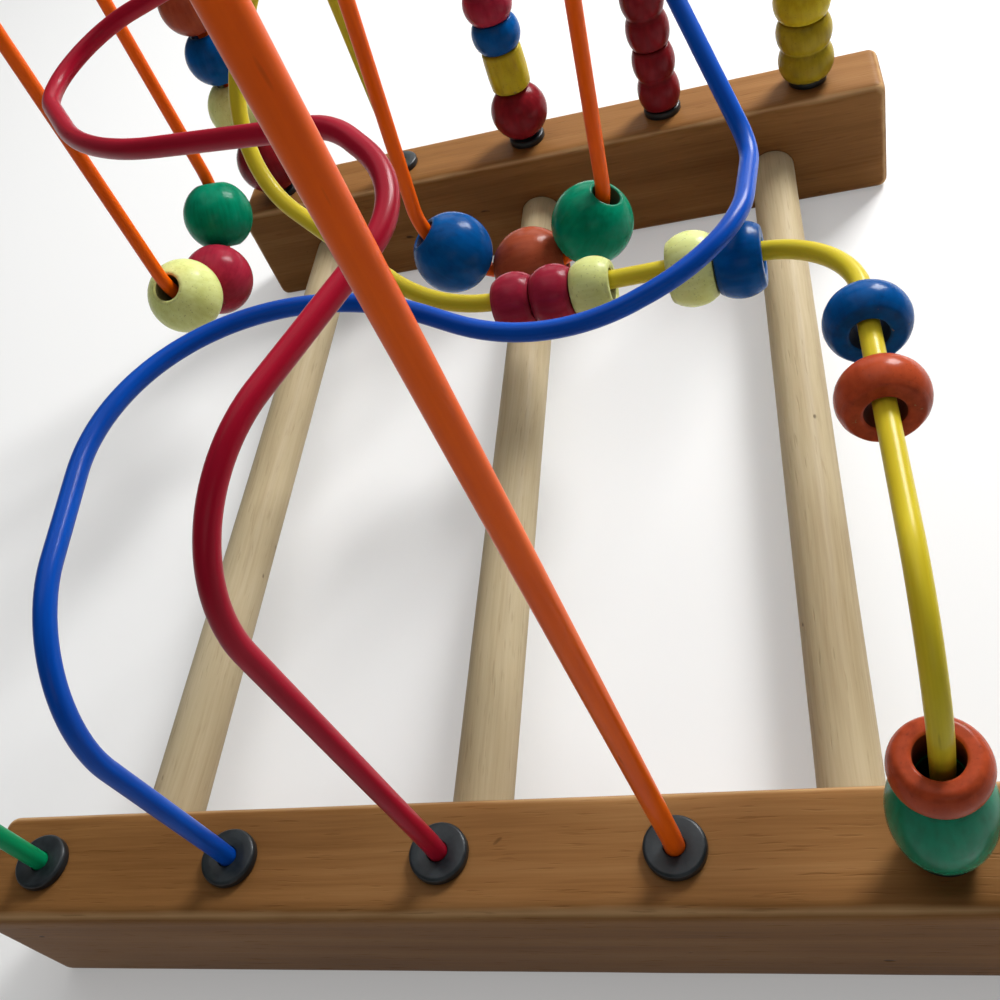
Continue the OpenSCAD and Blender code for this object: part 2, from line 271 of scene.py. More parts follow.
def waver(graph, geometry, place, scale, seed, depth):
    """Push a surface in and out by up to half the depth, as handwork does."""
    swell = (graph.noise(place, scale, seed=seed) - 0.5) * depth
    normal = graph.node("GeometryNodeInputNormal")
    offset = graph.node("ShaderNodeVectorMath", {"operation": "SCALE"}, {0: normal, "Scale": swell})
    return graph.node("GeometryNodeSetPosition", sockets={"Geometry": geometry, "Offset": offset})


def shaped(tool, base, inputs, place=Matrix.Identity(4)):
    """Run a tool on a base mesh and move the plain mesh that it makes to its place."""
    form = bpy.data.objects.new("form", base)
    scene.collection.objects.link(form)
    modifier = form.modifiers.new("tool", "NODES")
    modifier.node_group = tool
    for item in tool.interface.items_tree:
        if item.in_out == "INPUT" and item.name in inputs:
            modifier[item.identifier] = inputs[item.name]
    depsgraph = bpy.context.evaluated_depsgraph_get()
    ready = form.evaluated_get(depsgraph)
    mesh = bpy.data.meshes.new_from_object(ready, preserve_all_data_layers=True, depsgraph=depsgraph)
    form.modifiers.remove(modifier)
    bpy.data.objects.remove(form)
    mesh.transform(place)
    return mesh


SLOTS = {part["node"]: part["material_slot"] for part in frame["record"]["subparts"]}
BODIES = {node: body for body, nodes in frame["record"]["behaviour"]["bodies"].items() for node in nodes}


def dress(node, mesh):
    """Let a finished mesh stand for a CAD solid and move with its body."""
    piece = bpy.data.objects.new(node + ".finished", mesh)
    scene.collection.objects.link(piece)
    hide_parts(node)
    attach(piece, BODIES[node])
    return piece


def triangles(mesh):
    return sum(len(face.vertices) - 2 for face in mesh.polygons)


# %% [markdown]
# ## A start for every finish
# A finish is a shader with colour, roughness, coat and bump that vary over the surface. The places come
# from Object coordinates or from an attribute that a tool stored, so the pattern stays on the piece when it
# moves.


# %% Finish helper
def finish(name):
    """An empty node material and its graph."""
    material = bpy.data.materials.new(name)
    material.use_nodes = True
    material.node_tree.nodes.clear()
    return material, Graph(material.node_tree)


def close_finish(graph, colour, roughness, coat, height, depth, coat_roughness, specular):
    """Join what varies over the surface to the shader; depth is the bump's height in metres."""
    bump = graph.node("ShaderNodeBump", sockets={"Strength": 1.0, "Distance": depth, "Height": height})
    sockets = {"Base Color": colour, "Roughness": roughness, "Coat Weight": coat, "Normal": bump,
               "Coat Roughness": coat_roughness, "Specular IOR Level": specular}
    shader = graph.node("ShaderNodeBsdfPrincipled", sockets=sockets)
    graph.node("ShaderNodeOutputMaterial", sockets={"Surface": shader})


def attribute(graph, name, out):
    return graph.node("ShaderNodeAttribute", {"attribute_name": name}).out(out)


def spread(value):
    """The same repeats for each metre on all three axes."""
    return (value, value, value)


print("finish helpers ready")

# %% [markdown]
# ## Varnished wood
# The rails are stained hardwood: broad bands and fine fibres run lengthwise, with short dark pores and a
# few dark nicks. The arrises are paler, partly where the stain is rubbed off and partly as a painted
# highlight on the rounded edges. The dowels are the same idea in pale wood.
# Each layer is a noise that is stretched along the grain, on Object coordinates, because a finished piece
# lies where it stands.


# %% Wood
def grain_scale(axis, along, across):
    return tuple(along if i == axis else across for i in range(3))


def wood(name, axis, dark, middle, light, rubbed_and_highlit, gloss):
    material, graph = finish(name)
    place = graph.node("ShaderNodeTexCoord").out("Object")
    bend = graph.noise(place, grain_scale(axis, 9, 30), out="Color")
    sway = graph.node("ShaderNodeVectorMath", {"operation": "MULTIPLY"}, {0: bend, 1: spread(0.006)})
    place = graph.vector("ADD", place, sway)
    bands = graph.noise(place, grain_scale(axis, 5, 170), detail=3.0, seed=1.0)
    fibres = graph.noise(place, grain_scale(axis, 40, 1500), detail=4.0, seed=2.0)
    pores = graph.ramp(graph.noise(place, grain_scale(axis, 110, 1300), detail=1.0, seed=3.0), 0.62, 0.72)
    blotch = graph.noise(place, grain_scale(axis, 14, 26), seed=4.0)
    nicks = graph.ramp(graph.noise(place, grain_scale(axis, 110, 190), detail=1.0, seed=5.0), 0.76, 0.79)
    arris = attribute(graph, "arris", "Fac")
    rub_and_highlight = graph.ramp(arris + (graph.noise(place, grain_scale(axis, 30, 90), seed=6.0) - 0.5) * 1.2, 0.45, 1.0)
    tone = graph.ramp(bands * 0.45 + fibres * 0.3 + blotch * 0.45, 0.36, 0.84)
    colour = graph.mix(graph.ramp(tone, 0.0, 0.5), dark, middle)
    colour = graph.mix(graph.ramp(tone, 0.5, 1.0), colour, light)
    # The paler arris colour is partly rubbed-off stain and partly a painted highlight on the rounded edges.
    colour = graph.mix(rub_and_highlight * 0.8, colour, rubbed_and_highlit)
    colour = graph.mix(pores * 0.3, colour, dark)
    colour = graph.mix(nicks * 0.8, colour, shade(52, 34, 20))
    roughness = gloss + fibres * 0.16 + rub_and_highlight * 0.12 + pores * 0.1
    coat = 0.02 - rub_and_highlight * 0.01 - nicks * 0.01
    height = fibres * 0.35 + bands * 0.5 - pores * 0.5 - nicks * 1.5
    close_finish(graph, colour, roughness, coat, height, 0.12 * MM, coat_roughness=0.2, specular=0.04)
    return material


MATERIALS = {
    "rail_wood": wood("rail_wood", 0, shade(110, 72, 36), shade(138, 96, 54), shade(158, 116, 72),
                      shade(198, 160, 114), 0.34),
    "dowel_wood": wood("dowel_wood", 1, shade(150, 130, 98), shade(180, 163, 130), shade(198, 183, 152),
                       shade(190, 172, 138), 0.36),
}
print("woods:", ", ".join(MATERIALS))

# %% [markdown]
# ## Lacquer on the beads
# The beads are turned from wood and dipped in glossy colour. Under the gloss the grain shows as faint
# streaks along the bore, and the film is a little uneven. At the rims it is thin, rubbed and grimy. In the
# bore the film is thin and rubbed, and the colour is darkened nearly to black as painted shade. The places
# come from the attribute that the lathe tool stores, so each bead carries its own pattern.

# %% Lacquer
BARE_WOOD = shade(150, 116, 74)
# A dark colour for grimy specks, rims and rub marks, also used as painted shade inside the bores.
GRIME_AND_SHADE = shade(40, 28, 22)


def lacquer(name, colour, deep, specks):
    material, graph = finish(name)
    seed = attribute(graph, "tint", "Fac")
    turned = attribute(graph, "turned", "Vector")
    rim = graph.ramp(attribute(graph, "rim", "Fac"), 0.2, 0.8)
    bore = graph.ramp(attribute(graph, "bore", "Fac"), 0.3, 0.7)
    grain = graph.noise(turned, (700, 700, 90), detail=3.0, seed=seed)
    cloud = graph.noise(turned, spread(130), seed=seed + 7.0)
    peel = graph.noise(turned, spread(420), detail=1.0, seed=seed + 11.0)
    dots = graph.ramp(graph.noise(turned, spread(1500), detail=1.0, seed=seed + 17.0), 0.64, 0.72)
    flaw = graph.noise(turned, spread(520), detail=3.0, seed=seed + 23.0)
    chips = graph.ramp(flaw + rim * 0.12, 0.8, 0.83)
    shaded = graph.mix(graph.ramp(grain * 0.6 + cloud * 0.6, 0.4, 0.8), colour, deep)
    shaded = graph.mix(dots * specks, shaded, GRIME_AND_SHADE)
    shaded = graph.mix(rim * graph.ramp(flaw, 0.35, 0.7) * 0.3, shaded, GRIME_AND_SHADE)
    shaded = graph.mix(chips * 0.8, shaded, BARE_WOOD)
    # Painted shade: the bore is darkened nearly to black, because the inside of the hole is in shade.
    shaded = graph.mix(bore * 0.75, shaded, GRIME_AND_SHADE)
    roughness = 0.2 + cloud * 0.1 + chips * 0.35 + bore * 0.35 + rim * 0.08
    coat = 0.06 - chips * 0.05 - bore * 0.06
    height = peel * 0.6 + grain * 0.35 - chips * 0.8
    close_finish(graph, shaded, roughness, coat, height, 0.04 * MM, coat_roughness=0.08, specular=0.06)
    return material


LACQUERS = {
    "lacquer_green": (shade(4, 142, 106), shade(0, 114, 82), 0.15),
    "lacquer_blue": (shade(2, 86, 158), shade(0, 66, 126), 0.15),
    "lacquer_pale": (shade(228, 236, 160), shade(208, 214, 128), 0.3),
    "lacquer_crimson": (shade(168, 42, 62), shade(138, 28, 48), 0.2),
    "lacquer_brown": (shade(166, 80, 52), shade(140, 62, 40), 0.2),
    "lacquer_orange": (shade(184, 78, 44), shade(158, 62, 34), 0.2),
    "lacquer_dark_red": (shade(134, 28, 36), shade(104, 18, 26), 0.2),
    "lacquer_yellow": (shade(198, 176, 36), shade(168, 142, 24), 0.3),
    # The olive lacquer is the yellow one made darker: painted shade on the lower spool.
    "lacquer_olive": (shade(166, 144, 34), shade(138, 116, 22), 0.3),
}
for name, (colour, deep, specks) in LACQUERS.items():
    MATERIALS[name] = lacquer(name, colour, deep, specks)
print("lacquers:", ", ".join(LACQUERS))

# %% [markdown]
# ## Plastic coats on the wires
# Each steel wire wears a coloured plastic coat with a satin gloss. Beads that slide along it leave long
# faint scratches and a few dark rub marks. The sweep stores the place round the rim and the length along
# the wire, so the marks can run lengthwise through every bend.


# %% Wire coats
def wire_coat(name, colour, deep):
    material, graph = finish(name)
    strand = attribute(graph, "strand", "Vector")
    streaks = graph.noise(strand, (900, 900, 14), detail=3.0, seed=1.0)
    cloud = graph.noise(strand, (200, 200, 40), seed=2.0)
    rubs = graph.ramp(graph.noise(strand, (420, 420, 70), detail=2.0, seed=3.0), 0.68, 0.76)
    peel = graph.noise(strand, (700, 700, 260), detail=1.0, seed=4.0)
    shaded = graph.mix(graph.ramp(streaks * 0.5 + cloud * 0.6, 0.4, 0.75), colour, deep)
    shaded = graph.mix(rubs * 0.35, shaded, GRIME_AND_SHADE)
    roughness = 0.26 + streaks * 0.12 + rubs * 0.2
    coat = 0.06 - rubs * 0.04
    height = peel * 0.5 + streaks * 0.4
    close_finish(graph, shaded, roughness, coat, height, 0.03 * MM, coat_roughness=0.1, specular=0.1)
    return material


COATS = {
    "coat_green": (shade(10, 162, 104), shade(4, 136, 84)),
    "coat_blue": (shade(4, 84, 192), shade(0, 62, 160)),
    "coat_red": (shade(176, 20, 48), shade(146, 10, 34)),
    "coat_orange": (shade(246, 102, 4), shade(226, 84, 0)),
    "coat_yellow": (shade(216, 198, 50), shade(194, 172, 34)),
}
for name, (colour, deep) in COATS.items():
    MATERIALS[name] = wire_coat(name, colour, deep)
print("coats:", ", ".join(COATS))

# %% [markdown]
# ## Moulded black plastic
# The collars are moulded in black plastic with a dull skin. Dust settles on the flat top and the rim is
# rubbed shiny, so roughness and a grey veil vary over the surface.

# %% Collar plastic
MOULDED, collar_graph = finish("collar_black")
collar_place = collar_graph.node("ShaderNodeTexCoord").out("Object")
skin = collar_graph.noise(collar_place, spread(900), detail=3.0)
veil = collar_graph.noise(collar_place, spread(210), detail=2.0, seed=2.0)
collar_rim = collar_graph.ramp(attribute(collar_graph, "rim", "Fac"), 0.2, 0.9)
dust = collar_graph.ramp(veil + skin * 0.3, 0.5, 0.85)
dusty = collar_graph.mix(dust * 0.5, shade(22, 28, 32), shade(52, 60, 64))
dull = 0.5 + skin * 0.12 - collar_rim * 0.16
polish = 0.1 + collar_rim * 0.1
close_finish(collar_graph, dusty, dull, polish, skin, 0.05 * MM, coat_roughness=0.3, specular=0.3)
MATERIALS["collar_black"] = MOULDED
print("finishes:", len(MATERIALS))

# %% [markdown]
# ## The wires
# A wire is bent from straight rod, so its path is a row of corners with a bend radius at each. The corners
# are shares of the collars' spacing, the rails' distance and the wires' rise, as in the part's source, and
# a bend shrinks where its neighbours leave too little straight rod. Fillet Curve rounds the corners, the
# path is cut into short steps, and a circle swept along it gives the coat. A skin modifier would swell at
# the bends.

# %% Wire routes
COLLAR_PITCH, ROW_OFFSET = 54 * MM, 4 * MM
RAIL_L, RAIL_W, RAIL_H, RAIL_SPAN = 260 * MM, 28 * MM, 44 * MM, 290 * MM
WIRE_D, WIRE_RISE, WIRE_ROOT, BEND_R, LEAST_RUN = 4.6 * MM, 256 * MM, 16 * MM, 30 * MM, 0.4 * MM
ROUTES = {
    "green_wire": (-2, 0, [(-2, 0, 0.705, 1.5), (-1.15, 0.52, 0.765, 2), (0, 1, 0.745, 1)]),
    "blue_wire": (-1, 1, [
        (-1, 0, 0.03, 1), (-0.985, -0.01, 0.335, 1.05), (-1.25, 0.46, 0.355, 1.65), (0.67, 0.31, 0.26, 1.9),
        (1.51, 0.35, 0.305, 1), (1.595, 0.5, 0.28, 0.5), (1.055, 0.735, 0.49, 1.3), (1, 0.845, 0.825, 0.7),
        (1, 1, 0.825, 0.7)]),
    "red_wire": (0, 2, [
        (0, 0, 0.03, 1), (-0.15, 0.01, 0.465, 1.1), (0.51, 0.26, 0.48, 0.75), (0.195, 0.32, 0.505, 0.65),
        (-1.095, 0.4, 0.48, 2.5), (-2.035, 0.645, 0.45, 0.65), (1.89, 0.575, 0.65, 1.35), (2, 1, 0.805, 1)]),
    "orange_wire": (1, -2, [
        (1, 0, 0.03, 1), (0.8, 0, 1, 1.5), (1.07, 0.66, 1, 1.5), (0.72, 0.66, 0.037, 1.2),
        (-0.39, 0.66, 0.057, 1.2), (-0.06, 0.66, 0.94, 1.4), (-2.11, 0.655, 0.94, 1.4),
        (-2.11, 0.655, 0.04, 1.2), (-2.11, 0.86, 0.04, 1.2), (-2.11, 0.86, 0.785, 0.65),
        (-2, 1, 0.785, 0.65)]),
    "yellow_wire": (2, -1, [
        (2, 0, 0.05, 2), (1.95, 0, 0.28, 0.85), (1.96, 0.405, 0.245, 0.75), (0.06, 0.42, 0.222, 1.5),
        (-1.1, 0.585, 0.34, 1.2), (-0.11, 0.735, 0.64, 0.95), (-1, 1, 0.67, 0.95)]),
}


def collar_x(number):
    return number * COLLAR_PITCH - ROW_OFFSET


def route_corners(near, far, shares):
    """The corners of a wire from its near foot to its far foot, and the bend radius wanted at each."""
    corners = [Vector((collar_x(near), -RAIL_SPAN / 2, RAIL_H - WIRE_ROOT))]
    corners += [Vector((collar_x(x), (y - 0.5) * RAIL_SPAN, RAIL_H + z * WIRE_RISE)) for x, y, z, _ in shares]
    corners.append(Vector((collar_x(far), RAIL_SPAN / 2, RAIL_H - WIRE_ROOT)))
    return corners, [0.0] + [radius * BEND_R for *_, radius in shares] + [0.0]


def fitted_bends(corners, radii):
    """Shrink a bend where its neighbours leave too little straight rod."""
    runs = [end - start for start, end in zip(corners, corners[1:])]
    turns = [0.0] + [before.angle(after) for before, after in zip(runs, runs[1:])] + [0.0]
    reach = [radius * math.tan(turn / 2) for radius, turn in zip(radii, turns)]
    room = [(run.length - LEAST_RUN) / max(reach[k] + reach[k + 1], LEAST_RUN) for k, run in enumerate(runs)]
    return [radius and radius * min(1.0, room[i - 1], room[i]) for i, radius in enumerate(radii[:-1])] + [0.0]


def path_mesh(corners, bends):
    """A row of edges that carries the bend radius on its points."""
    mesh = bpy.data.meshes.new("path")
    mesh.from_pydata(corners, [(i, i + 1) for i in range(len(corners) - 1)], [])
    mesh.attributes.new("bend", "FLOAT", "POINT").data.foreach_set("value", bends)
    return mesh


graph, given = node_tool("swept rod", {
    "Thickness": "Float", "Step": "Float", "Facets": "Int", "Bend Steps": "Int", "Waver": "Float",
    "Seed": "Float", "Material": "Material"})
path = graph.node("GeometryNodeMeshToCurve", sockets={"Mesh": given.out("Geometry")})
path = graph.node("GeometryNodeFilletCurve", {"mode": "POLY"}, {
    "Curve": path, "Count": given.out("Bend Steps"), "Radius": recall(graph, "bend")})
path = graph.node("GeometryNodeResampleCurve", {"mode": "LENGTH"}, {
    "Curve": path, "Length": given.out("Step")})
path = keep(graph, path, "along", graph.node("GeometryNodeSplineParameter").out("Length"))
circle = graph.node("GeometryNodeCurvePrimitiveCircle", sockets={
    "Resolution": given.out("Facets"), "Radius": given.out("Thickness") * 0.5})
circle = keep(graph, circle, "round the rim", graph.node("GeometryNodeInputPosition"), "FLOAT_VECTOR")
rod = graph.node("GeometryNodeCurveToMesh", sockets={
    "Curve": path, "Profile Curve": circle, "Fill Caps": True})
across = graph.node("ShaderNodeSeparateXYZ", sockets={0: recall(graph, "round the rim", "FLOAT_VECTOR")})
strand = graph.node("ShaderNodeCombineXYZ", sockets={
    "X": across.out("X"), "Y": across.out("Y"), "Z": recall(graph, "along")})
rod = keep(graph, rod, "strand", strand, "FLOAT_VECTOR")
rod_place = recall(graph, "strand", "FLOAT_VECTOR")
rod = waver(graph, rod, rod_place, (60, 60, 35), given.out("Seed"), given.out("Waver"))
SWEPT_ROD = close_tool(graph, given, rod)

for seed, (node, (near, far, shares)) in enumerate(ROUTES.items()):
    corners, radii = route_corners(near, far, shares)
    mesh = shaped(SWEPT_ROD, path_mesh(corners, fitted_bends(corners, radii)), {
        "Thickness": WIRE_D, "Step": 1.6 * MM, "Facets": 24, "Bend Steps": 48, "Waver": 0.06 * MM,
        "Seed": float(seed), "Material": MATERIALS[SLOTS[node]]})
    dress(node, mesh)
    print(node, len(corners) - 2, "bends,", triangles(mesh), "triangles")

# %% [markdown]
# ## The dowels
# A dowel is a round stick glued into a blind socket at each end. The same sweep makes it, along a straight
# path and with a little more unevenness, because a stick of wood is never quite round.

# %% Dowels
DOWEL_D, DOWEL_PITCH, DOWEL_AXIS_H, SOCKET_DEPTH = 16 * MM, 92 * MM, 18 * MM, 12 * MM
DOWELS = {"left_dowel": -1, "middle_dowel": 0, "right_dowel": 1}
for node, number in DOWELS.items():
    reach = RAIL_SPAN / 2 - RAIL_W / 2 + SOCKET_DEPTH
    x = number * DOWEL_PITCH - ROW_OFFSET
    ends = [Vector((x, -reach, DOWEL_AXIS_H)), Vector((x, reach, DOWEL_AXIS_H))]
    mesh = shaped(SWEPT_ROD, path_mesh(ends, [0.0, 0.0]), {
        "Thickness": DOWEL_D - 0.1 * MM, "Step": 2.5 * MM, "Facets": 48, "Bend Steps": 1, "Waver": 0.2 * MM,
        "Seed": 20.0 + number, "Material": MATERIALS[SLOTS[node]]})
    dress(node, mesh)
    print(node, "at x", round(x / MM), "mm,", triangles(mesh), "triangles")

# %% [markdown]
# ## The rails
# A rail is a planed bar with rounded arrises, bored for five collars and three dowels. The bar starts as a
# cube with a fine grid. Every point is pulled on to a core that is smaller by the rounding and pushed out
# again by the same length, which rounds all edges at once, and the overlap of two faces tells where the
# arris is for the finish. The holes repeat along the rail, so they are one drill set out on a line of
# points and cut away.

# %% Rails
RAIL_EDGE_R, SPIGOT_D, SPIGOT_L, FIT = 3.5 * MM, 9 * MM, 12 * MM, 0.2 * MM
OVERRUN = 1 * MM


def drill(graph, count, pitch, radius, depth, first, turn):
    """A row of round cutters along X that starts at the place of the first."""
    points = graph.node("GeometryNodeMeshLine", {"mode": "OFFSET"}, {
        "Count": count, "Start Location": first, "Offset": pitch})
    bit = graph.node("GeometryNodeMeshCylinder", sockets={"Vertices": 64, "Radius": radius, "Depth": depth})
    row = graph.node("GeometryNodeInstanceOnPoints", sockets={
        "Points": points, "Instance": bit, "Rotation": turn})
    return graph.node("GeometryNodeRealizeInstances", sockets={"Geometry": row})


graph, given = node_tool("bored bar", {
    "Size": "Vector", "Rounding": "Float", "Cell": "Float", "Waver": "Float", "Seed": "Float",
    "Collar Pitch": "Vector", "First Collar": "Vector", "First Wire": "Vector", "Dowel Pitch": "Vector",
    "First Dowel": "Vector", "Material": "Material"})
sides = graph.node("ShaderNodeSeparateXYZ", sockets={0: given.out("Size")})
cells = {}
for axis in "XYZ":
    steps = graph.math("DIVIDE", sides.out(axis), given.out("Cell"))
    cells[axis] = graph.math("ROUND", steps, 0.0) + 1.0
bar = graph.node("GeometryNodeMeshCube", sockets={
    "Size": given.out("Size"), "Vertices X": cells["X"], "Vertices Y": cells["Y"], "Vertices Z": cells["Z"]})
spot = graph.node("GeometryNodeInputPosition")
edge = graph.node("ShaderNodeCombineXYZ", sockets={axis: given.out("Rounding") for axis in "XYZ"})
half = graph.vector("SUBTRACT", graph.vector("MULTIPLY", given.out("Size"), spread(0.5)), edge)
above = graph.vector("MAXIMUM", spot, graph.vector("MULTIPLY", half, spread(-1.0)))
core = graph.vector("MINIMUM", above, half)
out = graph.vector("SUBTRACT", spot, core)
parts = graph.node("ShaderNodeSeparateXYZ", sockets={0: graph.node(
    "ShaderNodeVectorMath", {"operation": "ABSOLUTE"}, {0: out})})
overlap = parts.out("X") + parts.out("Y") + parts.out("Z") - given.out("Rounding")
bar = keep(graph, bar, "arris", graph.math("DIVIDE", overlap, given.out("Rounding")))
facing = graph.node("ShaderNodeVectorMath", {"operation": "NORMALIZE"}, {0: out})
round_out = graph.node("ShaderNodeVectorMath", {"operation": "SCALE"}, {
    0: facing, "Scale": given.out("Rounding")})
bar = graph.node("GeometryNodeSetPosition", sockets={
    "Geometry": bar, "Position": graph.vector("ADD", core, round_out)})
bar = waver(graph, bar, spot, (25, 70, 70), given.out("Seed"), given.out("Waver"))
upright, level = (0.0, 0.0, 0.0), (math.pi / 2, 0.0, 0.0)
spigot_holes = drill(graph, 5, given.out("Collar Pitch"), (SPIGOT_D + FIT) / 2, SPIGOT_L + OVERRUN,
                     given.out("First Collar"), upright)
wire_holes = drill(graph, 5, given.out("Collar Pitch"), (WIRE_D + FIT) / 2, WIRE_ROOT,
                   given.out("First Wire"), upright)
dowel_holes = drill(graph, 3, given.out("Dowel Pitch"), (DOWEL_D + FIT) / 2, SOCKET_DEPTH + OVERRUN,
                    given.out("First Dowel"), level)
for holes in (spigot_holes, wire_holes, dowel_holes):
    bar = graph.node("GeometryNodeMeshBoolean", {"operation": "DIFFERENCE", "solver": "EXACT"}, {
        "Mesh 1": bar, "Mesh 2": holes})
BORED_BAR = close_tool(graph, given, bar)

for node, side in {"near_rail": -1, "far_rail": 1}.items():
    first_x = collar_x(-2)
    hole_y = -side * (RAIL_W / 2 - SOCKET_DEPTH / 2 + OVERRUN / 2)
    mesh = shaped(BORED_BAR, bpy.data.meshes.new("blank"), {
        "Size": (RAIL_L, RAIL_W, RAIL_H), "Rounding": RAIL_EDGE_R, "Cell": 1.25 * MM, "Waver": 0.22 * MM,
        "Seed": 30.0 + side, "Collar Pitch": (COLLAR_PITCH, 0.0, 0.0),
        "First Collar": (first_x, 0.0, RAIL_H / 2 + (OVERRUN - SPIGOT_L) / 2),
        "First Wire": (first_x, 0.0, RAIL_H / 2 - WIRE_ROOT / 2), "Dowel Pitch": (DOWEL_PITCH, 0.0, 0.0),
        "First Dowel": (-DOWEL_PITCH - ROW_OFFSET, hole_y, DOWEL_AXIS_H - RAIL_H / 2),
        "Material": MATERIALS[SLOTS[node]]}, Matrix.Translation((0.0, side * RAIL_SPAN / 2, RAIL_H / 2)))
    dress(node, mesh)
    print(node, triangles(mesh), "triangles")

# %% [markdown]
# ## The lathe
# Beads and collars are turned, so one tool makes them all: the outline of half a cut, a closed ring of
# edges, goes round the bore. Each outline point carries the rounding of its corner, which Fillet Curve uses
# and which tells the lacquer where the rims are. A plain sphere with a hole would have sharp, thin lips.

# %% Lathe
PIVOT = 1 * MM
graph, given = node_tool("lathe", {"Pivot": "Float", "Facets": "Int", "Round Steps": "Int", "Bore": "Float",
                                   "Waver": "Float", "Seed": "Float", "Material": "Material"})
cut = graph.node("GeometryNodeMeshToCurve", sockets={"Mesh": given.out("Geometry")})
cut = keep(graph, cut, "rim", recall(graph, "round") > 0.0)
cut = graph.node("GeometryNodeFilletCurve", {"mode": "POLY"}, {
    "Curve": cut, "Count": given.out("Round Steps"), "Radius": recall(graph, "round"), "Limit Radius": True})
way = graph.node("GeometryNodeCurvePrimitiveCircle", sockets={
    "Resolution": given.out("Facets"), "Radius": given.out("Pivot")})
body = graph.node("GeometryNodeCurveToMesh", sockets={"Curve": way, "Profile Curve": cut})
spot = graph.node("GeometryNodeInputPosition")
body = keep(graph, body, "turned", spot, "FLOAT_VECTOR")
body = keep(graph, body, "tint", given.out("Seed"))
flat = graph.node("ShaderNodeVectorMath", {"operation": "MULTIPLY"}, {0: spot, 1: (1.0, 1.0, 0.0)})
radius = graph.node("ShaderNodeVectorMath", {"operation": "LENGTH"}, {0: flat}).out("Value")
body = keep(graph, body, "bore", 1.0 - (radius > given.out("Bore")))
body = waver(graph, body, spot, spread(110), given.out("Seed"), given.out("Waver"))
LATHE = close_tool(graph, given, body)


def outline_mesh(points):
    """A closed ring of edges through points of radius, height and rounding."""
    mesh = bpy.data.meshes.new("outline")
    ring = [(i, (i + 1) % len(points)) for i in range(len(points))]
    mesh.from_pydata([(radius - PIVOT, -height, 0.0) for radius, height, _ in points], ring, [])
    mesh.attributes.new("round", "FLOAT", "POINT").data.foreach_set("value", [p[2] for p in points])
    return mesh


print("lathe inputs:", [item.name for item in LATHE.interface.items_tree if item.in_out == "INPUT"])

# %% [markdown]
# ## The collars
# A collar is a flanged bush: its spigot is glued into the rail and its flange lies on top, with a round rim
# and a shallow dish about the wire. All ten are alike.

# %% Collars
COLLAR_D, COLLAR_T = 14 * MM, 2.6 * MM
COLLAR_BORE_R = (WIRE_D + FIT) / 2
DISH, COLLAR_RIM = 0.12 * MM, 2.4 * MM
COLLAR_FACETS, ROUND_STEPS, COLLAR_WAVER = 64, 5, 0.04 * MM
COLLAR_OUTLINE = [
    (COLLAR_BORE_R, -SPIGOT_L, 0.2 * MM), (SPIGOT_D / 2, -SPIGOT_L, 0.6 * MM), (SPIGOT_D / 2, 0.0, 0.1 * MM),
    (COLLAR_D / 2, 0.0, 0.5 * MM), (COLLAR_D / 2, COLLAR_T, 0.9 * MM),
    (COLLAR_D / 2 - COLLAR_RIM, COLLAR_T, 1.0 * MM), (COLLAR_BORE_R, COLLAR_T - DISH, 0.3 * MM),
]
for side, row in ((-1, "near"), (1, "far")):
    for number in range(-2, 3):
        node = f"{row}_collar_{number + 3}"
        place = Matrix.Translation((collar_x(number), side * RAIL_SPAN / 2, RAIL_H))
        mesh = shaped(LATHE, outline_mesh(COLLAR_OUTLINE), {
            "Pivot": PIVOT, "Facets": COLLAR_FACETS, "Round Steps": ROUND_STEPS,
            "Bore": COLLAR_BORE_R + 0.1 * MM, "Waver": COLLAR_WAVER,
            "Seed": 50.0 + side * 5 + number, "Material": MATERIALS[SLOTS[node]]}, place)
        dress(node, mesh)
print("ten collars of", triangles(mesh), "triangles each")

# %% [markdown]
# ## The beads
# A bead's form is its diameter, length, bore, the share of its diameter that is left at the ends, and its
# ribs. The sides are arcs. A ball's arc runs down to its bore, and a spool has two ribs with a groove
# between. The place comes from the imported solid's box and the bore's direction from its joint, so a bead
# sits where it was packed.

# %% Bead forms
BALL_BORE, BEAD_BORE = 9 * MM, 8 * MM


def ball(diameter):
    return (diameter, math.sqrt(diameter ** 2 - BALL_BORE ** 2), BALL_BORE, BALL_BORE / diameter, 1)


FORMS = {
    "large_ball": ball(26 * MM),
    "small_ball": ball(22 * MM),
    "barrel": (21 * MM, 28 * MM, BALL_BORE, 0.72, 1),
    "ring": (18.5 * MM, 9 * MM, BALL_BORE, 0.82, 1),
    "rondelle": (18.5 * MM, 9.5 * MM, BEAD_BORE, 0.8, 1),
    "drum": (18.2 * MM, 11 * MM, BEAD_BORE, 0.79, 1),
    "button": (15.5 * MM, 10 * MM, BEAD_BORE, 0.76, 1),
    "cylinder": (15.5 * MM, 16 * MM, BEAD_BORE, 0.96, 1),
    "spool": (20 * MM, 22 * MM, BEAD_BORE, 0.82, 2),
    "slim_spool": (16 * MM, 24 * MM, BEAD_BORE, 0.82, 2),
}
BEADS = {
    "barrel": ["green_barrel_bead"],
    "ring": ["orange_ring_bead"],
    "rondelle": ["orange_rondelle_bead", "blue_rondelle_bead"],
    "drum": ["blue_drum_bead", "pale_drum_bead", "middle_blue_drum", "middle_crimson_drum"],
    "button": ["pale_button_bead", "crimson_button_bead", "end_crimson_button_bead"],
    "large_ball": ["front_loop_green_ball", "front_loop_brown_ball", "front_loop_blue_ball",
                   "side_loop_pale_ball", "side_loop_crimson_ball", "side_loop_green_ball",
                   "corner_dark_red_ball", "corner_pale_ball"],
    "small_ball": ["corner_blue_ball", "corner_brown_ball", "middle_dark_red_ball"],
    "cylinder": ["middle_yellow_cylinder"],
    "spool": ["lower_olive_spool", "upper_yellow_spool"],
    "slim_spool": ["lower_red_spool", "upper_red_spool"],
}
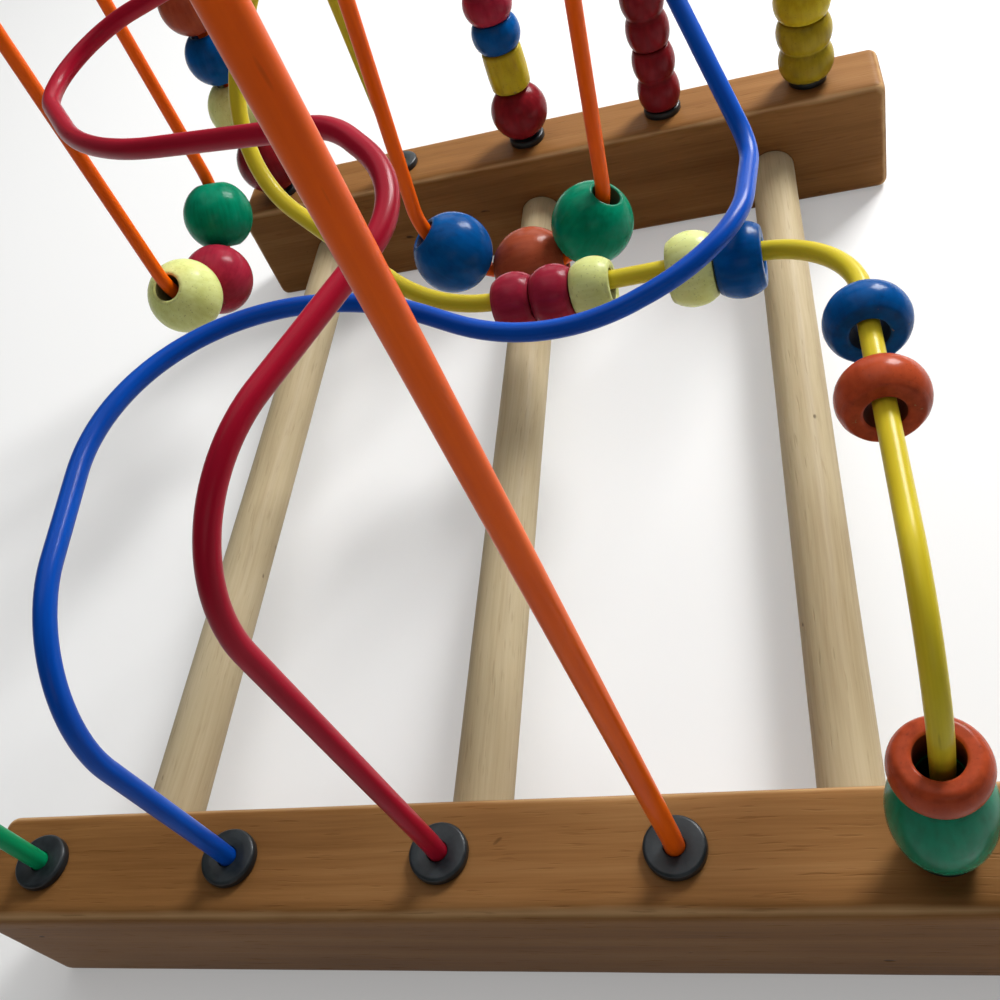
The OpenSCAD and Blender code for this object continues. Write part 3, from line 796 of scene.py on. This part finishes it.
LIP, GROOVE = 0.8 * MM, 0.5 * MM
RIMS = {"ring": 2.0 * MM, "rondelle": 1.0 * MM, "drum": 0.8 * MM, "button": 0.8 * MM}
PLAIN_RIM = 1.2 * MM
ARC_STEP = 1.0 * MM
BEAD_FACETS, BEAD_WAVER = 72, 0.18 * MM


def side_points(diameter, length, end_share, ribs):
    """The points of the sides from the lower rim to the upper rim, without the two rims."""
    rib = length / ribs
    rise = diameter / 2 * (1 - end_share)
    side_r = (rib ** 2 / 4 + rise ** 2) / (2 * rise)
    half_angle = math.asin(min(1.0, rib / 2 / side_r))
    steps = max(8, round(2 * half_angle * side_r / ARC_STEP))
    points = []
    for k in range(ribs):
        if k:
            points.append((diameter / 2 - rise, k * rib - length / 2, GROOVE))
        for i in range(2, steps - 1):
            angle = half_angle * (2 * i / steps - 1)
            height = k * rib + rib / 2 - length / 2 + side_r * math.sin(angle)
            points.append((diameter / 2 - side_r * (1 - math.cos(angle)), height, 0.0))
    return points


def bead_outline(form):
    diameter, length, bore, end_share, ribs = FORMS[form]
    rim = RIMS.get(form, PLAIN_RIM)
    end_r, bore_r = diameter / 2 * end_share, bore / 2
    sides = side_points(diameter, length, end_share, ribs)
    if end_r - bore_r < LIP:
        return [(bore_r, -length / 2, LIP)] + sides + [(bore_r, length / 2, LIP)]
    lower = [(bore_r, -length / 2, LIP), (end_r, -length / 2, rim)]
    upper = [(end_r, length / 2, rim), (bore_r, length / 2, LIP)]
    return lower + sides + upper


JOINTS = {joint["child"]: joint for joint in frame["joints"]}


def bead_place(node):
    """The turn and the place that bring a bead from the lathe to its wire."""
    low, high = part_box(node)
    centre = (Vector(low) + Vector(high)) / 2
    joint = JOINTS[node]
    axis = Vector(joint["axis"])
    if joint["name"].endswith("_swing"):
        axis = axis.cross(centre - Vector(joint["pos_m"]))
    return Matrix.Translation(centre) @ axis.to_track_quat("Z", "Y").to_matrix().to_4x4()


# %% Beads
for form, nodes in BEADS.items():
    outline = bead_outline(form)
    for node in nodes:
        seed = 100.0 + 13.0 * list(SLOTS).index(node)
        mesh = shaped(LATHE, outline_mesh(outline), {
            "Pivot": PIVOT, "Facets": BEAD_FACETS, "Round Steps": ROUND_STEPS,
            "Bore": FORMS[form][2] / 2 + 0.15 * MM, "Waver": BEAD_WAVER, "Seed": seed,
            "Material": MATERIALS[SLOTS[node]]}, bead_place(node))
        dress(node, mesh)
    print(form, len(nodes), "of", triangles(mesh), "triangles")

# %% [markdown]
# ## The end
# The finished pieces have to stay within the imported model's box.

# %% Finish
print("all pieces finished")
